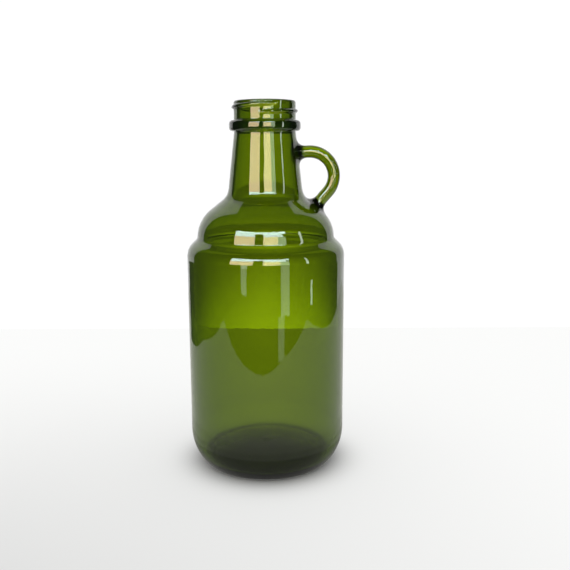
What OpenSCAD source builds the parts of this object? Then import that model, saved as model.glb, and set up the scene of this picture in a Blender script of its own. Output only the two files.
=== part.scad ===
// Glass jug with a screw finish and a finger-ring handle, for must, cider or wine.
// One blown glass piece, drawn as the zones that the glass trade and the mould
// set name: neck ring parts (finish, thread, bead), blow mould parts (neck,
// shoulder, side wall, heel, finger handle) and bottom plate parts (push-up
// floor, knurled bearing ring). Neighbouring zones meet face to face.
// Millimetres. +Z up the jug's axis, z = 0 on the table, handle on the +X side.

/* [Vessel] */
// height from the table to the lip
total_h = 209; // [207.5:0.1:210.5]
// outer radius of the straight side wall
body_r = 45.1; // [44.4:0.1:45.8]
// height where the side wall ends and the shoulder starts
side_top = 122.6; // [120:0.1:124]
// glass thickness of side wall, shoulder and neck
wall = 3; // [2.4:0.1:3.4]

/* [Shoulder] */
// radius of the round shoulder edge
edge_r = 10; // [9.6:0.1:10.4]
// steepest slope of the shoulder edge, degrees from vertical
edge_slope = 45; // [43.5:0.5:46]
// straight length between the round edge and the hollow step
edge_run = 3.3; // [2.9:0.1:3.7]
// radius of the hollow step above the edge
step_r = 2.5; // [2.2:0.1:2.8]
// slope left at the bottom of the dome, degrees from vertical
step_slope = 3; // [2:0.5:4]
// radius of the dome
dome_r = 20.8; // [20.5:0.1:21.1]
// steepest slope of the dome, degrees from vertical
dome_slope = 52; // [51.3:0.1:52.6]
// straight length between dome and neck flare
dome_run = 8.4; // [8:0.1:8.8]
// radius of the flare into the neck
flare_r = 9.6; // [9:0.1:10.2]
// taper of the neck, degrees from vertical
neck_taper = 6.6; // [6.2:0.1:7]

/* [Base] */
// height where the side wall starts
heel_h = 20.5; // [19.5:0.5:22]
// radius of the outer heel curve
heel_r = 29; // [28.5:0.1:29.5]
// height where the inner heel curve meets the floor's top
floor_edge = 4.5; // [4:0.1:5]
// inner radius of the bearing ring
ring_in = 31.2; // [30.8:0.1:31.6]
// outer radius of the bearing ring
ring_out = 36.2; // [35.8:0.1:36.6]
// height of the bearing ring under the heel
ring_h = 0.8; // [0.6:0.1:1]
// number of knurls on the bearing ring
knurls = 102; // [60:1:120]
// rise of the push-up under the floor
push_up = 7; // [6:0.5:8]
// glass thickness of the floor at its middle
floor_t = 4.6; // [4:0.1:5]

/* [Neck finish] */
// bore radius of the mouth
bore_r = 14; // [13.6:0.1:14.2]
// outer radius of the finish wall (diameter E is twice this)
finish_r = 17.3; // [17.2:0.05:17.5]
// height of the finish above the bead
finish_h = 10.6; // [10.4:0.05:10.8]
// outer radius of the transfer bead
bead_r = 20; // [19.6:0.1:20.3]
// height of the transfer bead
bead_h = 6.1; // [5.8:0.1:6.4]
// rounding of the transfer bead
bead_round = 2; // [1.5:0.1:2.4]
// rounding of the lip
lip_round = 1.2; // [1:0.1:1.5]

/* [Screw thread] */
// rise of the thread in one turn (6 turns to the inch)
pitch = 4.233; // [4:0.001:4.4]
// how far the thread stands out of the finish wall
thread_h = 1.15; // [0.9:0.05:1.3]
// half width of the thread at its root
thread_w = 1.25; // [1.1:0.05:1.35]
// length of the thread, degrees
thread_turn = 395; // [370:5:420]
// direction where the thread starts near the lip, degrees from +X
thread_start = 294; // [280:2:310]
// height of the thread's start below the lip
thread_drop = 2.2; // [2.15:0.05:2.5]

/* [Finger handle] */
// distance of the ring's centre from the jug's axis
loop_x = 25.3; // [24.6:0.1:26]
// height of the ring's centre
loop_z = 167.5; // [166:0.1:168.5]
// radius of the ring's centre line
loop_r = 13.6; // [13.2:0.1:13.9]
// radius of the glass rod
rod_r = 3.4; // [3:0.1:3.7]
// how far the upper root spreads up and down the neck
root_flare = 3.4; // [2.5:0.1:3.6]

/* [Hidden] */
$fn = 96;
steps = 9;
eps = 0.01;
neck_top = total_h - finish_h - bead_h;
neck_base = 156;

// One step of the wall curve. A heading is the slope in degrees from vertical,
// leaning towards the axis. A growing heading bends in, a falling one out.
function run_to(p, a, len) = [p[0] - len * sin(a), p[1] + len * cos(a)];
function bend(p, a0, a1, r) =
    let (s = a1 > a0 ? 1 : -1, c = [p[0] - s * r * cos(a0), p[1] - s * r * sin(a0)])
    [for (i = [1 : steps]) let (a = a0 + (a1 - a0) * i / steps)
        [c[0] + s * r * cos(a), c[1] + s * r * sin(a)]];
function last(v) = v[len(v) - 1];

// The curve from the side wall's top to the neck's top, t inside the outer face.
function wall_curve(t) =
    let (p0 = [body_r - t, side_top],
         b1 = bend(p0, 0, edge_slope, edge_r - t),
         p1 = run_to(last(b1), edge_slope, edge_run),
         b2 = bend(p1, edge_slope, step_slope, step_r + t),
         b3 = bend(last(b2), step_slope, dome_slope, dome_r - t),
         p3 = run_to(last(b3), dome_slope, dome_run),
         b4 = bend(p3, dome_slope, neck_taper, flare_r + t),
         q = last(b4),
         p4 = run_to(q, neck_taper, (neck_top - q[1]) / cos(neck_taper)))
    concat([p0], b1, [p1], b2, b3, [p3], b4, [p4]);

function flip(v) = [for (i = [len(v) - 1 : -1 : 0]) v[i]];

// Half section of shoulder and neck together.
module upper_section() {
    polygon(concat(wall_curve(0), flip(wall_curve(wall))));
}

// Everything inside the outer face above the side wall, with no hollow.
module upper_envelope() {
    rotate_extrude()
        polygon(concat([[0, side_top]], wall_curve(0), [[0, neck_top]]));
}

// Rectangle with its two right-hand corners rounded.
module soft_bar(x0, x1, z0, z1, r) {
    translate([x0, z0]) square([x1 - x0 - r, z1 - z0]);
    translate([x1 - r - eps, z0 + r]) square([r + eps, z1 - z0 - 2 * r]);
    for (z = [z0 + r, z1 - r]) translate([x1 - r, z]) circle(r);
}

// Finish wall: lip, sealing face and bore, down to the underside of the bead.
module finish_wall() {
    color([0.34, 0.46, 0.05])
    rotate_extrude() {
        translate([bore_r, neck_top])
            square([finish_r - bore_r, total_h - neck_top - lip_round]);
        translate([bore_r + lip_round, total_h - lip_round - eps])
            square([finish_r - bore_r - 2 * lip_round, lip_round + eps]);
        for (x = [bore_r + lip_round, finish_r - lip_round])
            translate([x, total_h - lip_round]) circle(lip_round);
    }
}

// Screw thread: one rounded right-hand ridge that fades out at both ends. It
// stands on the finish wall with a hair of clearance under its facets.
function fade(u) = min(1, 0.06 + sin(min(90, 90 * min(u, 1 - u) * 14)));
function ridge(i, n) =
    let (u = i / n, a = thread_start - thread_turn * u, f = fade(u),
         z = total_h - thread_drop - pitch * thread_turn * u / 360,
         r0 = finish_r + 0.05, h = thread_h * f, w = thread_w * (0.45 + 0.55 * f))
    [for (q = [[0, -1], [0.55, -0.74], [0.9, -0.42], [1, 0], [0.9, 0.42], [0.55, 0.74], [0, 1]])
        [(r0 + h * q[0]) * cos(a), (r0 + h * q[0]) * sin(a), z + w * q[1]]];
module screw_thread() {
    n = 96;
    k = 7;
    pts = [for (i = [0 : n]) each ridge(i, n)];
    sides = [for (i = [0 : n - 1], j = [0 : k - 1]) let (m = (j + 1) % k)
        each [[i * k + j, i * k + m, (i + 1) * k + m], [i * k + j, (i + 1) * k + m, (i + 1) * k + j]]];
    ends = [[for (j = [k - 1 : -1 : 0]) j], [for (j = [0 : k - 1]) n * k + j]];
    color([0.34, 0.46, 0.05])
    polyhedron(points = pts, faces = concat(sides, ends), convexity = 6);
}

// Transfer bead: the thick ring that carries the jug while it is made.
module transfer_bead() {
    color([0.2, 0.3, 0.04])
    rotate_extrude()
        soft_bar(finish_r, bead_r, neck_top, neck_top + bead_h, bead_round);
}

// Neck: tapered tube with the upper half of the flare.
module neck() {
    color([0.34, 0.46, 0.05])
    rotate_extrude()
        intersection() {
            upper_section();
            translate([0, neck_base]) square([body_r, total_h]);
        }
}

// Shoulder: round edge, hollow step, dome and the lower half of the flare.
module shoulder() {
    color([0.34, 0.46, 0.05])
    rotate_extrude()
        intersection() {
            upper_section();
            square([body_r + 1, neck_base]);
        }
}

// Side wall: the straight part of the body.
module body_wall() {
    color([0.34, 0.46, 0.05])
    rotate_extrude()
        translate([body_r - wall, heel_h]) square([wall, side_top - heel_h]);
}

// Half section of the bottom: the heel shell and the floor domed up over the
// push-up, between the bearing ring's top and the side wall.
module base_section() {
    heel_x = body_r - heel_r;
    inner_r = heel_r - wall;
    edge_x = heel_x + sqrt(inner_r * inner_r - (heel_h - floor_edge) * (heel_h - floor_edge));
    under_r = (ring_in * ring_in + push_up * push_up) / (2 * push_up);
    top_z = ring_h + push_up + floor_t;
    rise = top_z - floor_edge;
    over_r = (edge_x * edge_x + rise * rise) / (2 * rise);
    difference() {
        intersection() {
            union() {
                translate([heel_x, heel_h]) circle(heel_r, $fn = 192);
                square([heel_x, heel_h]);
            }
            translate([0, ring_h]) square([body_r + 1, heel_h - ring_h]);
        }
        difference() {
            union() {
                translate([heel_x, heel_h]) circle(inner_r, $fn = 192);
                square([heel_x, heel_h + 1]);
            }
            translate([0, top_z - over_r]) circle(over_r, $fn = 360);
        }
        translate([0, ring_h + push_up - under_r]) circle(under_r, $fn = 360);
    }
}

// Heel: the turn from the side wall to the bearing ring, outside the push-up.
module heel() {
    color([0.28, 0.38, 0.04])
    rotate_extrude()
        intersection() {
            base_section();
            translate([ring_in, 0]) square([body_r, heel_h]);
        }
}

// Floor: the middle of the bottom, domed up over the push-up, with the small
// nub that the bottom plate's vent leaves under its middle.
module floor_plate() {
    color([0.28, 0.38, 0.04])
    rotate_extrude() {
        intersection() {
            base_section();
            square([ring_in, heel_h]);
        }
        translate([0, ring_h + push_up - 0.8]) square([2.4, 1.6]);
    }
}

// Bearing ring: the only part that meets the table, knurled on its outer half.
module bearing_ring() {
    color([0.28, 0.38, 0.04])
    linear_extrude(ring_h)
        difference() {
            circle(ring_out);
            circle(ring_in);
            for (i = [0 : knurls - 1])
                rotate(i * 360 / knurls) translate([ring_out - 1.8, -0.55]) square([3, 1.1]);
        }
}

// Finger handle: a round glass rod bent to an open ring. The upper root
// spreads on the neck and the lower root sits on the shoulder.
module root(r, f, len) {
    rotate_extrude()
        difference() {
            square([r + f, len]);
            translate([r + f, f]) circle(f);
            translate([r, f]) square([f + 1, len]);
        }
}
module finger_handle() {
    root_z = loop_z + loop_r - 0.2;
    color([0.3, 0.42, 0.03])
    difference() {
        union() {
            translate([loop_x, 0, loop_z]) rotate([90, 0, 0])
                rotate([0, 0, -140]) rotate_extrude(angle = 265)
                    translate([loop_r, 0]) circle(rod_r);
            translate([neck_x(root_z) - 0.6, 0, root_z]) rotate([0, 90, 0])
                root(rod_r, root_flare, 7);
            translate([27.6, 0, 147]) rotate([0, 14, 0])
                cylinder(h = 9, r1 = rod_r + 2.6, r2 = rod_r);
        }
        upper_envelope();
    }
}
// outer radius of the tapered neck at height z
function neck_x(z) =
    let (p = last(wall_curve(0))) p[0] + (p[1] - z) * tan(neck_taper);

finish_wall();
screw_thread();
transfer_bead();
neck();
shoulder();
body_wall();
heel();
floor_plate();
bearing_ring();
finger_handle();
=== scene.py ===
import bpy
import bmesh
import math
import numpy as np
from mathutils import Matrix, Vector


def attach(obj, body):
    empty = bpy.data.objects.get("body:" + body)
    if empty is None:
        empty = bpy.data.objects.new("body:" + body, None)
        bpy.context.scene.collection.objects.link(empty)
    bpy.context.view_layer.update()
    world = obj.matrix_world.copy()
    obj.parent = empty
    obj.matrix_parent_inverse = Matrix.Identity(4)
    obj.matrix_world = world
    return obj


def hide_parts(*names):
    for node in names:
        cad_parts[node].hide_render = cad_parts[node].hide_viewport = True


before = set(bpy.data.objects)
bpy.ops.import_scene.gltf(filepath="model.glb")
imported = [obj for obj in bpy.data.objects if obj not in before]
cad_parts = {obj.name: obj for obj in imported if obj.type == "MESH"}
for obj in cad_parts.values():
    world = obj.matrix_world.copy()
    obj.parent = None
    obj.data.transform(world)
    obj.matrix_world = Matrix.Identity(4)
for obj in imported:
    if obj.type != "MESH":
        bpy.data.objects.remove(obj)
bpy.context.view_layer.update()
MM = 0.001

# ---------------------------------------------------------------- sizes, mm
TOTAL_H, BODY_R, SIDE_TOP, WALL = 209.0, 45.1, 122.6, 3.0
EDGE_R, EDGE_A, EDGE_RUN, STEP_R, STEP_A = 10.0, 45.0, 3.3, 2.5, 3.0
DOME_R, DOME_A, DOME_RUN, FLARE_R, NECK_A = 20.8, 52.0, 8.4, 9.6, 6.6
HEEL_H, HEEL_R, FLOOR_EDGE = 20.5, 29.0, 4.5
RING_IN, RING_OUT, RING_H, KNURLS = 31.2, 36.2, 0.8, 102
PUSH_UP, FLOOR_T = 7.0, 4.6
BORE_R, FIN_R, FIN_H, BEAD_R, BEAD_H, BEAD_ROUND, LIP = 14.0, 17.3, 10.6, 20.0, 6.1, 2.0, 1.2
PITCH, TH_H, TH_W, TH_TURN, TH_START, TH_DROP = 4.233, 1.15, 1.25, 395.0, 294.0, 2.2
LOOP_X, LOOP_Z, LOOP_R, ROD_R = 25.3, 167.5, 13.6, 3.4
NECK_TOP = TOTAL_H - FIN_H - BEAD_H


# ------------------------------------------------------------ profile curve
def bend(p, a0, a1, r, step=4.0):
    """Arc from p, heading a0 to a1 in degrees leaning towards the axis."""
    s = 1.0 if a1 > a0 else -1.0
    n = max(3, int(math.ceil(abs(a1 - a0) / step)))
    q0 = math.radians(a0)
    c = (p[0] - s * r * math.cos(q0), p[1] - s * r * math.sin(q0))
    out = []
    for i in range(1, n + 1):
        a = math.radians(a0 + (a1 - a0) * i / n)
        out.append((c[0] + s * r * math.cos(a), c[1] + s * r * math.sin(a)))
    return out


def run(p, q, step):
    n = max(1, int(math.ceil(math.hypot(q[0] - p[0], q[1] - p[1]) / step)))
    return [(p[0] + (q[0] - p[0]) * i / n, p[1] + (q[1] - p[1]) * i / n) for i in range(1, n + 1)]


def arc(cx, cz, r, a0, a1, n):
    """n points along an arc about (cx, cz), the start left out."""
    return [(cx + r * math.cos(math.radians(a0 + (a1 - a0) * i / n)),
             cz + r * math.sin(math.radians(a0 + (a1 - a0) * i / n))) for i in range(1, n + 1)]


def wall_curve(t):
    """The same curve as the CAD: side wall top to neck top, t inside."""
    p0 = (BODY_R - t, SIDE_TOP)
    out = [p0] + bend(p0, 0, EDGE_A, EDGE_R - t)
    e = math.radians(EDGE_A)
    p = (out[-1][0] - EDGE_RUN * math.sin(e), out[-1][1] + EDGE_RUN * math.cos(e))
    out += run(out[-1], p, 0.7) + bend(p, EDGE_A, STEP_A, STEP_R + t)
    out += bend(out[-1], STEP_A, DOME_A, DOME_R - t, 3.0)
    e = math.radians(DOME_A)
    p = (out[-1][0] - DOME_RUN * math.sin(e), out[-1][1] + DOME_RUN * math.cos(e))
    out += run(out[-1], p, 0.9)
    out += bend(p, DOME_A, NECK_A, FLARE_R + t, 3.0)
    e = math.radians(NECK_A)
    q = out[-1]
    d = (NECK_TOP - q[1]) / math.cos(e)
    out += run(q, (q[0] - d * math.sin(e), NECK_TOP), 1.0)
    return out


def soften(pts, keep, times=2):
    """Rounds kinks of a chain a little, as fire polish does."""
    p = np.array(pts, float)
    k = np.array(keep, bool)
    for _ in range(times):
        m = p.copy()
        m[1:-1] = 0.25 * p[:-2] + 0.5 * p[1:-1] + 0.25 * p[2:]
        m[k] = p[k]
        p = m
    return p


under_r = (RING_IN ** 2 + PUSH_UP ** 2) / (2 * PUSH_UP)
under_c = RING_H + PUSH_UP - under_r
heel_x, heel_in = BODY_R - HEEL_R, HEEL_R - WALL
edge_x = heel_x + math.sqrt(heel_in ** 2 - (HEEL_H - FLOOR_EDGE) ** 2)
top_z = RING_H + PUSH_UP + FLOOR_T
rise = top_z - FLOOR_EDGE
over_r = (edge_x ** 2 + rise ** 2) / (2 * rise)

# underside, from the axis outwards; fine rings around the bearing ring
under = [(0.0, 7.0), (0.6, 7.0), (1.2, 7.0), (1.8, 7.02), (2.2, 7.15), (2.5, 7.45), (2.8, 7.68)]
for r in np.linspace(3.4, RING_IN - 0.6, 24):
    under.append((r, under_c + math.sqrt(under_r ** 2 - r * r)))
z_e = under[-1][1]
under += [(RING_IN + 0.05, z_e - 0.28), (RING_IN + 0.45, 0.42), (RING_IN + 0.85, 0.13), (RING_IN + 1.3, 0.0)]
n_under = len(under)
ringp = [(r, 0.0) for r in (32.9, 33.4, 33.8, 34.2, 34.7, 35.1, 35.5)]
ringp += [(35.9, 0.08), (36.2, 0.28), (36.4, 0.52), (36.75, 0.7), (37.15, 0.85)]
HC = (BODY_R - HEEL_R, HEEL_H)
a_lo = math.degrees(math.asin((1.05 - HEEL_H) / HEEL_R))
heel_lo = arc(HC[0], HC[1], HEEL_R, a_lo, a_lo + 6.0, 5)
heel_hi = arc(HC[0], HC[1], HEEL_R, a_lo + 6.0, 0.0, 22)
bottom = under + ringp + heel_lo
side = run(heel_hi[-1], (BODY_R, SIDE_TOP), 1.6)
outer_up = heel_hi + side + wall_curve(0)[1:]
# bead, finish and lip
bead = [(17.32, NECK_TOP + 0.0), (17.5, NECK_TOP + 0.0), (17.8, NECK_TOP + 0.0)]
bead += arc(BEAD_R - BEAD_ROUND, NECK_TOP + BEAD_ROUND, BEAD_ROUND, -90, 0, 10)
bead += run(bead[-1], (BEAD_R, NECK_TOP + BEAD_H - BEAD_ROUND), 0.7)
bead += arc(BEAD_R - BEAD_ROUND, NECK_TOP + BEAD_H - BEAD_ROUND, BEAD_ROUND, 0, 90, 10)
bead += [(17.75, NECK_TOP + BEAD_H + 0.02), (17.45, NECK_TOP + BEAD_H + 0.12), (17.32, NECK_TOP + BEAD_H + 0.35)]
fin = run(bead[-1], (FIN_R, TOTAL_H - LIP), 0.26)
lip = arc(FIN_R - LIP, TOTAL_H - LIP, LIP, 0, 90, 9)
lip += run(lip[-1], (BORE_R + LIP, TOTAL_H), 0.5)
lip += arc(BORE_R + LIP, TOTAL_H - LIP, LIP, 90, 180, 9)
inner = run(lip[-1], (BORE_R, NECK_TOP), 1.2)
inner += wall_curve(WALL)[::-1][1:]
inner += run(inner[-1], (BODY_R - WALL, HEEL_H), 1.6)
a_in = -math.degrees(math.asin((HEEL_H - FLOOR_EDGE) / heel_in))
inner += arc(heel_x, HEEL_H, heel_in, 0, a_in + 5.5, 24)
# floor: a tight turn from the heel to the dome over the push-up
fl = []
for r in np.linspace(edge_x - 2.2, 0.0, 30):
    fl.append((r, top_z - over_r + math.sqrt(over_r ** 2 - r * r)))
a, b = np.array(inner[-1]), np.array(fl[0])
ctrl = np.array([edge_x, FLOOR_EDGE])
turn = [tuple((1 - t) ** 2 * a + 2 * t * (1 - t) * ctrl + t * t * b) for t in np.linspace(0, 1, 10)[1:]]
inner += turn + fl[1:]

chain = bottom + outer_up + bead + fin + lip + inner
kind = (["under"] * n_under + ["ring"] * len(ringp) + ["heel"] * len(heel_lo) + ["outer"] * len(outer_up)
        + ["bead"] * len(bead) + ["fin"] * len(fin) + ["lip"] * len(lip) + ["inner"] * len(inner))
chain = np.array(chain, float)
n_fine = len(bottom)
OUTER_2D = np.array(outer_up)


# ------------------------------------------------------------- displacement
def thread(theta, z):
    """Height of the screw ridge at angles theta and heights z."""
    out = np.zeros(np.broadcast(theta, z).shape)
    t0 = np.mod(TH_START - np.degrees(theta), 360.0)
    for t in (t0, t0 + 360.0):
        u = t / TH_TURN
        ok = u <= 1.0
        f = np.minimum(1.0, 0.02 + np.sin(np.radians(np.minimum(90.0, 90.0 * np.clip(np.minimum(u, 1 - u), 0, 1) * 14))))
        q = np.abs(z - (TOTAL_H - TH_DROP - PITCH * t / 360.0)) / (TH_W * (0.45 + 0.55 * f))
        h = TH_H * f * np.power(np.clip(1 - q ** 2.6, 0, 1), 1.15)
        out = np.maximum(out, np.where(ok, h, 0.0))
    return out


def ripple(theta, z, seed, waves):
    """Low unevenness of blown glass, -1 to 1, the same on every run."""
    rng = np.random.RandomState(seed)
    s = 0.0
    for _ in range(waves):
        k = rng.randint(1, 7)
        m = rng.uniform(0.01, 0.06)
        s = s + rng.uniform(0.4, 1.0) * np.sin(k * theta + rng.uniform(0, 6.28)) * np.sin(m * z + rng.uniform(0, 6.28))
    return s / waves


def lathe_points(n, rows):
    th = np.arange(n) * 2 * math.pi / n
    T = th[None, :]
    r = chain[rows, 0][:, None] + 0 * T
    z = chain[rows, 1][:, None] + 0 * T
    k = np.array([kind[i] for i in rows])
    # screw ridge
    m = k == "fin"
    if m.any():
        r[m] += thread(T, z[m])
    # knurled outer half of the bearing ring
    m = (k == "ring") | (k == "heel")
    if m.any():
        wave = 0.5 + 0.5 * np.cos(KNURLS * T)
        wave = wave * wave * (3 - 2 * wave)
        w = np.clip((r[m] - 33.3) / 0.7, 0, 1) * np.clip((37.3 - r[m]) / 0.7, 0, 1)
        z[m] += 0.5 * w * wave
    # seam of the two mould halves, in the plane of the handle
    m = (k == "outer") | (k == "bead")
    if m.any():
        d = np.abs(np.sin(T)) * r[m]
        r[m] += 0.09 * np.exp(-(d / 0.55) ** 2)
        r[m] += 0.035 * ripple(T, z[m], 5, 14)
    m = k == "inner"
    if m.any():
        w = np.clip((z[m] - 13.5) / 25.0, 0, 1) * np.clip((190.0 - z[m]) / 25.0, 0, 1)
        r[m] += 0.16 * w * ripple(T, z[m], 11, 16)
    return np.stack([r * np.cos(T), r * np.sin(T), z], -1)


NF, NC = 612, 306
verts, faces = [], []
base = 0
ring_of = []
for i in range(len(chain)):
    n = 1 if chain[i, 0] < 1e-6 else (NF if i < n_fine else NC)
    ring_of.append((base, n))
    base += n
allv = np.zeros((base, 3))
for i in range(len(chain)):
    b0, n = ring_of[i]
    if n == 1:
        allv[b0] = (0, 0, chain[i, 1])
fine_rows = [i for i in range(len(chain)) if ring_of[i][1] == NF]
coarse_rows = [i for i in range(len(chain)) if ring_of[i][1] == NC]
for rows, n in ((fine_rows, NF), (coarse_rows, NC)):
    P = lathe_points(n, np.array(rows))
    for j, i in enumerate(rows):
        allv[ring_of[i][0]:ring_of[i][0] + n] = P[j]
for i in range(len(chain) - 1):
    (a, na), (b, nb) = ring_of[i], ring_of[i + 1]
    if na == 1:
        faces += [(a, b + (j + 1) % nb, b + j) for j in range(nb)]
    elif nb == 1:
        faces += [(a + j, a + (j + 1) % na, b) for j in range(na)]
    elif na == nb:
        faces += [(a + j, a + (j + 1) % na, b + (j + 1) % na, b + j) for j in range(na)]
    else:
        for j in range(nb):
            f0, f1, f2 = a + 2 * j, a + 2 * j + 1, a + (2 * j + 2) % na
            c0, c1 = b + j, b + (j + 1) % nb
            faces += [(f0, f1, c0), (f1, c1, c0), (f1, f2, c1)]


def mesh_object(name, v, f):
    me = bpy.data.meshes.new(name)
    me.from_pydata([tuple(p) for p in v], [], f)
    me.validate()
    ob = bpy.data.objects.new(name, me)
    bpy.context.scene.collection.objects.link(ob)
    return ob


vessel = mesh_object("jug_glass", allv * MM, faces)


# ------------------------------------------------------------ finger handle
def handle_path():
    """Centre line of the rod: off the neck, round the ring, down into the shoulder."""
    p = [(x, LOOP_Z + LOOP_R + 0.05 * (x - LOOP_X)) for x in np.arange(16.5, LOOP_X - 0.3, 0.5)]
    for a in np.arange(90, -47, -3.0):
        p.append((LOOP_X + LOOP_R * math.cos(math.radians(a)), LOOP_Z + LOOP_R * math.sin(math.radians(a))))
    d = np.array([-0.66, -0.751])
    e = np.array(p[-1])
    for s in np.arange(0.6, 11.2, 0.6):
        p.append(tuple(e + d * s))
    p = np.array(p)
    for _ in range(3):
        q = p.copy()
        q[1:-1] = 0.25 * p[:-2] + 0.5 * p[1:-1] + 0.25 * p[2:]
        p = q
    return p


def tube(path, rad, n):
    t = np.gradient(path, axis=0)
    t /= np.linalg.norm(t, axis=1)[:, None]
    nrm = np.stack([t[:, 1], -t[:, 0]], -1)  # in-plane, away from the ring's centre
    v, f = [], []
    for i in range(len(path)):
        for j in range(n):
            a = 2 * math.pi * j / n
            rr = rad
            # the mould seam runs round the rod's outer and inner side
            rr += 0.08 * math.exp(-((math.sin(a) * rad) / 0.5) ** 2)
            c, s = rr * math.cos(a), rr * math.sin(a)
            v.append((path[i, 0] + nrm[i, 0] * c, s, path[i, 1] + nrm[i, 1] * c))
    m = len(path)
    for i in range(m - 1):
        for j in range(n):
            f.append((i * n + j, i * n + (j + 1) % n, (i + 1) * n + (j + 1) % n, (i + 1) * n + j))
    f.append(tuple(range(n))[::-1])
    f.append(tuple((m - 1) * n + j for j in range(n)))
    return np.array(v), f


HP = handle_path()
tv, tf = tube(HP, ROD_R, 48)
rod = mesh_object("rod_tmp", tv * MM, tf)
for ob in (vessel, rod):
    bm = bmesh.new()
    bm.from_mesh(ob.data)
    bmesh.ops.recalc_face_normals(bm, faces=bm.faces)
    if bm.calc_volume(signed=True) < 0:
        bmesh.ops.reverse_faces(bm, faces=bm.faces)
    bm.to_mesh(ob.data)
    bm.free()

mod = vessel.modifiers.new("join", "BOOLEAN")
mod.operation = "UNION"
mod.solver = "EXACT"
mod.object = rod
dg = bpy.context.evaluated_depsgraph_get()
joined = bpy.data.meshes.new_from_object(vessel.evaluated_get(dg))
vessel.modifiers.clear()
vessel.data = joined
bpy.data.objects.remove(rod)


# blend the roots: move the skin near the joint onto the smooth union
def seg_dist(P, A):
    """Distance of 2D points P to the open polyline A."""
    best = np.full(len(P), 1e9)
    for a, b in zip(A[:-1], A[1:]):
        d = b - a
        t = np.clip(((P - a) @ d) / (d @ d), 0, 1)
        best = np.minimum(best, np.linalg.norm(P - (a + t[:, None] * d), axis=1))
    return best


def f_vessel(P):
    rho = np.hypot(P[:, 0], P[:, 1])
    q = np.stack([rho, P[:, 2]], -1)
    lim = np.interp(q[:, 1], OUTER_2D[:, 1], OUTER_2D[:, 0])
    return seg_dist(q, OUTER_2D) * np.where(rho > lim, 1.0, -1.0)


def f_rod(P):
    q = P[:, [0, 2]]
    best = seg_dist(q, HP)
    return np.hypot(best, P[:, 1]) - ROD_R


def f_all(P, k=5.2):
    a, b = f_vessel(P), f_rod(P)
    h = np.clip(k - np.abs(a - b), 0, None) / k
    return np.minimum(a, b) - h * h * k * 0.25


me = vessel.data
co = np.empty(len(me.vertices) * 3)
me.vertices.foreach_get("co", co)
co = co.reshape(-1, 3) / MM
near = (co[:, 0] > 12) & (np.abs(co[:, 1]) < 14) & (co[:, 2] > 138) & (co[:, 2] < 192.2)
idx = np.where(near)[0]
Pn = co[idx]
fa, fb = f_vessel(Pn), f_rod(Pn)
on_skin = (np.minimum(fa, fb) > -0.6) & (np.abs(fa - fb) < 5.4)
idx = idx[on_skin]
Pn = co[idx]
for _ in range(6):
    f0 = f_all(Pn)
    g = np.zeros_like(Pn)
    for ax in range(3):
        e = np.zeros(3)
        e[ax] = 0.05
        g[:, ax] = (f_all(Pn + e) - f_all(Pn - e)) / 0.1
    g2 = np.maximum((g * g).sum(1), 0.2)
    Pn = Pn - np.clip(f0, -0.8, 0.8)[:, None] * g / g2[:, None]
co[idx] = Pn
me.vertices.foreach_set("co", (co * MM).ravel())
me.update()
bm = bmesh.new()
bm.from_mesh(me)
bmesh.ops.remove_doubles(bm, verts=bm.verts, dist=0.00004)
bmesh.ops.dissolve_degenerate(bm, edges=bm.edges, dist=0.00002)
loose = [v for v in bm.verts if not v.link_faces]
bmesh.ops.delete(bm, geom=loose, context="VERTS")
bmesh.ops.recalc_face_normals(bm, faces=bm.faces)
if bm.calc_volume(signed=True) < 0:
    bmesh.ops.reverse_faces(bm, faces=bm.faces)
for f in bm.faces:
    f.smooth = True
print("GLASS volume cm3", round(bm.calc_volume(signed=True) * 1e6, 2), "faces", len(bm.faces),
      "open edges", sum(1 for e in bm.edges if len(e.link_faces) != 2))
bm.to_mesh(me)
bm.free()


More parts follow.
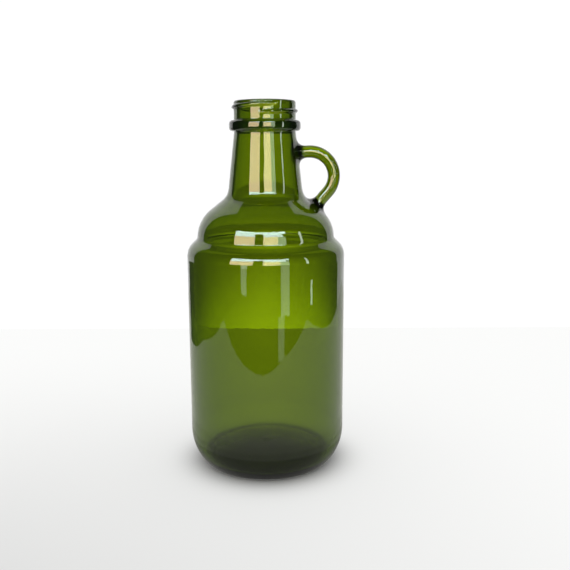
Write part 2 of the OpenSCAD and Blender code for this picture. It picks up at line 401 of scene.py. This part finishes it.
# ------------------------------------------------------------------ material
def glass_material():
    """Green bottle glass: absorbs in the body, skin a little uneven with fine
    mould chill marks, and dulled by handling in soft patches."""
    m = bpy.data.materials.new("green_glass")
    m.use_nodes = True
    nt = m.node_tree
    nt.nodes.clear()
    N, L = nt.nodes.new, nt.links.new
    out = N("ShaderNodeOutputMaterial")
    p = N("ShaderNodeBsdfPrincipled")
    p.inputs["Base Color"].default_value = (1, 1, 1, 1)
    p.inputs["Transmission Weight"].default_value = 1.0
    p.inputs["IOR"].default_value = 1.52
    tc = N("ShaderNodeTexCoord")
    # soft patches of handling wear
    wear = N("ShaderNodeTexNoise")
    wear.inputs["Scale"].default_value = 38.0
    wear.inputs["Detail"].default_value = 5.0
    L(tc.outputs["Object"], wear.inputs["Vector"])
    wr = N("ShaderNodeMapRange")
    wr.inputs["From Min"].default_value = 0.5
    wr.inputs["From Max"].default_value = 0.8
    wr.inputs["To Min"].default_value = 0.0
    wr.inputs["To Max"].default_value = 0.045
    L(wear.outputs["Fac"], wr.inputs["Value"])
    L(wr.outputs["Result"], p.inputs["Roughness"])
    # long waves pulled along the height, and fine chill grain
    mp = N("ShaderNodeMapping")
    mp.inputs["Scale"].default_value = (1.0, 1.0, 0.35)
    L(tc.outputs["Object"], mp.inputs["Vector"])
    wave = N("ShaderNodeTexNoise")
    wave.inputs["Scale"].default_value = 55.0
    wave.inputs["Detail"].default_value = 1.5
    L(mp.outputs["Vector"], wave.inputs["Vector"])
    grain = N("ShaderNodeTexNoise")
    grain.inputs["Scale"].default_value = 420.0
    grain.inputs["Detail"].default_value = 2.0
    L(tc.outputs["Object"], grain.inputs["Vector"])
    b1 = N("ShaderNodeBump")
    b1.inputs["Strength"].default_value = 0.35
    b1.inputs["Distance"].default_value = 0.0004
    L(wave.outputs["Fac"], b1.inputs["Height"])
    b2 = N("ShaderNodeBump")
    b2.inputs["Strength"].default_value = 0.12
    b2.inputs["Distance"].default_value = 0.00004
    L(grain.outputs["Fac"], b2.inputs["Height"])
    L(b1.outputs["Normal"], b2.inputs["Normal"])
    L(b2.outputs["Normal"], p.inputs["Normal"])
    va = N("ShaderNodeVolumeAbsorption")
    va.inputs["Color"].default_value = (0.70, 0.758, 0.0, 1)
    va.inputs["Density"].default_value = 1230.0
    L(p.outputs[0], out.inputs["Surface"])
    L(va.outputs[0], out.inputs["Volume"])
    return m


GLASS = glass_material()
vessel.data.materials.clear()
vessel.data.materials.append(GLASS)
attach(vessel, "root")
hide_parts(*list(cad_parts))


# --------------------------------------------------------------- stage, light
def emission(name, color, strength):
    m = bpy.data.materials.new(name)
    m.use_nodes = True
    nt = m.node_tree
    nt.nodes.clear()
    out = nt.nodes.new("ShaderNodeOutputMaterial")
    e = nt.nodes.new("ShaderNodeEmission")
    e.inputs["Color"].default_value = (*color, 1)
    e.inputs["Strength"].default_value = strength
    nt.links.new(e.outputs[0], out.inputs["Surface"])
    return m


def node_math(nt, op, x, y=None, clamp=False):
    n = nt.nodes.new("ShaderNodeMath")
    n.operation = op
    n.use_clamp = clamp
    for i, v in enumerate((x, y)):
        if v is None:
            continue
        if isinstance(v, (int, float)):
            n.inputs[i].default_value = v
        else:
            nt.links.new(v, n.inputs[i])
    return n.outputs[0]


def floor_material():
    """Pale table: part diffuse, part painted glow standing in for room light, with painted shade a little darker
    towards the front left and a painted contact shadow under the jug.
    """
    m = bpy.data.materials.new("floor")
    m.use_nodes = True
    nt = m.node_tree
    nt.nodes.clear()
    out = nt.nodes.new("ShaderNodeOutputMaterial")
    d = nt.nodes.new("ShaderNodeBsdfDiffuse")
    d.inputs["Color"].default_value = (0.33, 0.327, 0.325, 1)
    geo = nt.nodes.new("ShaderNodeNewGeometry")
    sep = nt.nodes.new("ShaderNodeSeparateXYZ")
    nt.links.new(geo.outputs["Position"], sep.inputs[0])
    # painted shade: the floor's glow weakens towards the front and the left
    near = node_math(nt, "MAXIMUM", node_math(nt, "SUBTRACT", 0.25, sep.outputs[1]), 0.0)
    near = node_math(nt, "MULTIPLY", node_math(nt, "POWER", near, 2.0), 1.5)
    left = node_math(nt, "MULTIPLY_ADD", sep.outputs[0], -3.0, clamp=True)
    left.node.inputs[2].default_value = 0.6
    painted_shade_front_left = node_math(nt, "MULTIPLY", near, left)
    # painted glow: the floor emits light though it is no lamp
    e = nt.nodes.new("ShaderNodeEmission")
    e.inputs["Color"].default_value = (0.99, 1.0, 0.99, 1)
    # painted contact shadow: the floor's glow is cut under and close around the jug, where little light gets
    r2 = node_math(nt, "ADD", node_math(nt, "POWER", sep.outputs[0], 2.0), node_math(nt, "POWER", sep.outputs[1], 2.0))
    r = node_math(nt, "SUBTRACT", node_math(nt, "SQRT", r2), 0.032)
    r = node_math(nt, "DIVIDE", node_math(nt, "MAXIMUM", r, 0.0), 0.015)
    painted_contact_shadow = node_math(nt, "EXPONENT", node_math(nt, "MULTIPLY", node_math(nt, "POWER", r, 2.0), -1.0))
    glow_outside_contact_shadow = node_math(nt, "SUBTRACT", 1.0, node_math(nt, "MULTIPLY", painted_contact_shadow, 0.97))
    nt.links.new(node_math(nt, "MULTIPLY", node_math(nt, "SUBTRACT", 0.64, painted_shade_front_left), glow_outside_contact_shadow), e.inputs["Strength"])
    add = nt.nodes.new("ShaderNodeAddShader")
    nt.links.new(d.outputs[0], add.inputs[0])
    nt.links.new(e.outputs[0], add.inputs[1])
    nt.links.new(add.outputs[0], out.inputs["Surface"])
    return m


def plane(name, x0, x1, y0, y1, z, mat):
    ob = mesh_object(name, [(x0, y0, z), (x1, y0, z), (x1, y1, z), (x0, y1, z)], [(0, 1, 2, 3)])
    ob.data.materials.append(mat)
    return ob


FLOOR = floor_material()
TABLE = 0.318
WHITE = emission("backdrop_white", (1, 1, 1), 1.03)


def only(ob, camera=False, diffuse=False, glossy=False, transmission=False, shadow=False):
    ob.visible_camera = camera
    ob.visible_diffuse = diffuse
    ob.visible_glossy = glossy
    ob.visible_transmission = transmission
    ob.visible_volume_scatter = False
    ob.visible_shadow = shadow
    return ob


floor = plane("floor", -TABLE, TABLE, -0.33, TABLE, -0.00005, FLOOR)
floor.visible_glossy = False


def glow_material():
    """Backlight that the glass looks through: brightest just behind the table's
    edge on each of its four sides, falling off sideways and with distance."""
    m = bpy.data.materials.new("backlight")
    m.use_nodes = True
    nt = m.node_tree
    nt.nodes.clear()
    N = nt.nodes.new

    def math_node(op, x, y=None):
        n = N("ShaderNodeMath")
        n.operation = op
        for i, v in enumerate((x, y)):
            if v is None:
                continue
            if isinstance(v, (int, float)):
                n.inputs[i].default_value = v
            else:
                nt.links.new(v, n.inputs[i])
        return n.outputs[0]

    geo = N("ShaderNodeNewGeometry")
    sep = N("ShaderNodeSeparateXYZ")
    nt.links.new(geo.outputs["Position"], sep.inputs[0])
    ax = math_node("ABSOLUTE", sep.outputs[0])
    ay = math_node("ABSOLUTE", sep.outputs[1])
    u = math_node("MINIMUM", ax, ay)
    v = math_node("MAXIMUM", ax, ay)
    v = math_node("SUBTRACT", v, TABLE)
    gu = math_node("EXPONENT", math_node("MULTIPLY", math_node("POWER", math_node("DIVIDE", u, GLOW_W), 2.0), -1.0))
    gv = math_node("EXPONENT", math_node("MULTIPLY", math_node("DIVIDE", v, GLOW_D), -1.0))
    L = math_node("ADD", math_node("MULTIPLY", math_node("MULTIPLY", gu, gv), GLOW_A), GLOW_0)
    e = N("ShaderNodeEmission")
    e.inputs["Color"].default_value = (1, 1, 1, 1)
    nt.links.new(L, e.inputs["Strength"])
    out = N("ShaderNodeOutputMaterial")
    nt.links.new(e.outputs[0], out.inputs["Surface"])
    return m


GLOW_W, GLOW_D, GLOW_A, GLOW_0 = 0.12, 0.42, 1.82, 0.56
GLOW = glow_material()
far = plane("backdrop_floor", -4, 4, -4, 4, -0.0006, WHITE)
only(far, camera=True, diffuse=True)
glow = plane("backlight", -4, 4, -4, 4, -0.0005, GLOW)
only(glow, transmission=True)

world = bpy.data.worlds.new("studio")
bpy.context.scene.world = world
world.use_nodes = True
wn = world.node_tree
wn.nodes.clear()
wo = wn.nodes.new("ShaderNodeOutputWorld")
wb = wn.nodes.new("ShaderNodeBackground")
wb.inputs["Color"].default_value = (1, 1, 1, 1)
wb.inputs["Strength"].default_value = 1.03
wn.links.new(wb.outputs[0], wo.inputs["Surface"])
world.cycles_visibility.glossy = False


def card(name, az0, az1, el0, el1, dist, color, strength):
    """A soft light card on a sphere about the jug's neck, seen only in gloss.
    Azimuth 0 is towards the viewer (-Y), growing to the viewer's right."""
    nx, ny = max(6, int((az1 - az0) / 5)), max(4, int((el1 - el0) / 5))
    v, f = [], []
    for j in range(ny + 1):
        for i in range(nx + 1):
            az = math.radians(az0 + (az1 - az0) * i / nx)
            el = math.radians(el0 + (el1 - el0) * j / ny)
            v.append((dist * math.sin(az) * math.cos(el), -dist * math.cos(az) * math.cos(el),
                      0.15 + dist * math.sin(el)))
    for j in range(ny):
        for i in range(nx):
            a = j * (nx + 1) + i
            f.append((a, a + 1, a + nx + 2, a + nx + 1))
    ob = mesh_object(name, v, f)
    ob.data.materials.append(emission(name, color, strength))
    return only(ob, glossy=True)


def sheet(name, pts, z, color, strength):
    """Flat light sheet seen only in gloss: the table top as the glass mirrors it."""
    ob = mesh_object(name, [(x, y, z) for x, y in pts], [tuple(range(len(pts)))])
    ob.data.materials.append(emission(name, color, strength))
    return only(ob, glossy=True)


# what the glass mirrors: a tall window in front in two lights with a warm lower
# part, a pale blue upper part, a narrow light at the right, a white wall behind
sheet("table_gloss", [(-0.372, -0.222), (-0.157, -0.238), (0, -0.25), (0.124, -0.27), (0.375, -0.227),
                      (0.39, 0.5), (-0.33, 0.5), (-0.33, 0.44), (-0.235, 0.33), (-0.19, 0.25),
                      (-0.25, 0.15), (-0.33, 0.04)], -0.00004, (1.0, 1.0, 0.94), 0.78)
# painted shadow: dimmer gloss sheets close round the jug mirror the table's contact shadow in the heel and base
for k, (rr, st) in enumerate(((0.1, 0.65), (0.08, 0.5), (0.06, 0.3))):
    sheet("table_gloss_shadowed%d" % k, [(rr * math.cos(a * math.pi / 24), rr * math.sin(a * math.pi / 24)) for a in range(48)],
          -0.00003 + k * 0.00001, (1.0, 1.0, 0.94), st)
WARM, WARM_2, SKY = (1.0, 0.76, 0.44), (1.0, 0.85, 0.43), (0.8, 1.0, 0.98)
card("window_a", -51, -17, -2, 19, 2.5, WARM, 12.6)
card("window_b", -3, 21, -2, 19, 2.5, WARM_2, 14.0)
card("window_c", 21, 34, -2, 19, 2.5, (0.78, 1.0, 0.6), 6.0)
card("window_a_sky", -51, -17, 19, 27, 2.5, SKY, 15.0)
card("window_b_sky", -3, 30, 19, 27, 2.5, SKY, 15.0)
card("window_top", -53, 36, 27, 33, 2.5, SKY, 16.0)
card("window_a_low", -34, -25, -9.5, -2, 2.5, (0.9, 1.0, 0.8), 5.0)
card("window_a_low2", -34, -26, -12, -9.5, 2.5, (0.9, 1.0, 0.8), 2.5)
card("window_b_low", 22, 34, -14, -2, 2.5, (0.9, 1.0, 0.85), 2.4)
card("window_b_low2", 18, 27, -18, -14, 2.5, (0.9, 1.0, 0.85), 1.4)
card("sliver", 60, 64, -4, 27, 2.5, (0.9, 1.0, 0.85), 9.0)
card("sliver_low", 67, 70, -13, -10.8, 2.5, (0.9, 1.0, 0.85), 6.0)
card("wall_behind_l", 124, 180, -9, 58, 2.6, (1, 1, 1), 1.0)
card("wall_behind_r", -180, -124, -9, 58, 2.6, (1, 1, 1), 1.0)
card("wall_low_l", 127, 180, -20, -9, 2.6, (1, 1, 1), 1.0)
card("wall_low_r", -180, -147, -20, -9, 2.6, (1, 1, 1), 1.0)
card("room", -180, 180, -25, 88, 3.5, (0.9, 0.95, 1.0), 0.05)


def surround_material():
    """Studio walls that the glass looks through: bright straight behind the jug as
    seen from each of the four sides, dim towards the corners and overhead."""
    m = bpy.data.materials.new("surround")
    m.use_nodes = True
    nt = m.node_tree
    nt.nodes.clear()
    geo = nt.nodes.new("ShaderNodeNewGeometry")
    sep = nt.nodes.new("ShaderNodeSeparateXYZ")
    nt.links.new(geo.outputs["Position"], sep.inputs[0])
    ax = node_math(nt, "ABSOLUTE", sep.outputs[0])
    ay = node_math(nt, "ABSOLUTE", sep.outputs[1])
    u = node_math(nt, "DIVIDE", node_math(nt, "MINIMUM", ax, ay), node_math(nt, "MAXIMUM", ax, ay))

    def fall(value, a, b, to):
        n = nt.nodes.new("ShaderNodeMapRange")
        n.interpolation_type = "SMOOTHSTEP"
        n.inputs["From Min"].default_value = a
        n.inputs["From Max"].default_value = b
        n.inputs["To Min"].default_value = 1.0
        n.inputs["To Max"].default_value = to
        nt.links.new(value, n.inputs["Value"])
        return n.outputs["Result"]

    k = node_math(nt, "MULTIPLY", fall(u, 0.4, 0.9, 0.3), fall(sep.outputs[2], 1.2, 2.2, 0.4))
    e = nt.nodes.new("ShaderNodeEmission")
    e.inputs["Color"].default_value = (1, 1, 1, 1)
    nt.links.new(node_math(nt, "MULTIPLY", k, 1.03), e.inputs["Strength"])
    out = nt.nodes.new("ShaderNodeOutputMaterial")
    nt.links.new(e.outputs[0], out.inputs["Surface"])
    return m


surround = card("surround", -180, 180, -1.5, 89.9, 3.2, (1, 1, 1), 1.0)
surround.data.materials[0] = surround_material()
only(surround, transmission=True)

# -------------------------------------------------------------------- camera
cam_data = bpy.data.cameras.new("camera")
cam = bpy.data.objects.new("camera", cam_data)
bpy.context.scene.collection.objects.link(cam)
cam_data.sensor_width = 36.0
cam_data.lens = 36.0 * 722.7 / 570.0
cam_data.clip_start = 0.01
cam.matrix_world = (Matrix.Translation((0.01094, -0.414, 0.1817))
                    @ Matrix.Rotation(math.pi / 2 - 0.184, 4, "X") @ Matrix.Rotation(-0.004, 4, "Z"))
bpy.context.scene.camera = cam

sc = bpy.context.scene
sc.view_settings.view_transform = "Standard"
sc.view_settings.look = "None"
sc.cycles.max_bounces = 24
sc.cycles.transmission_bounces = 24
sc.cycles.glossy_bounces = 12
sc.cycles.use_denoising = True
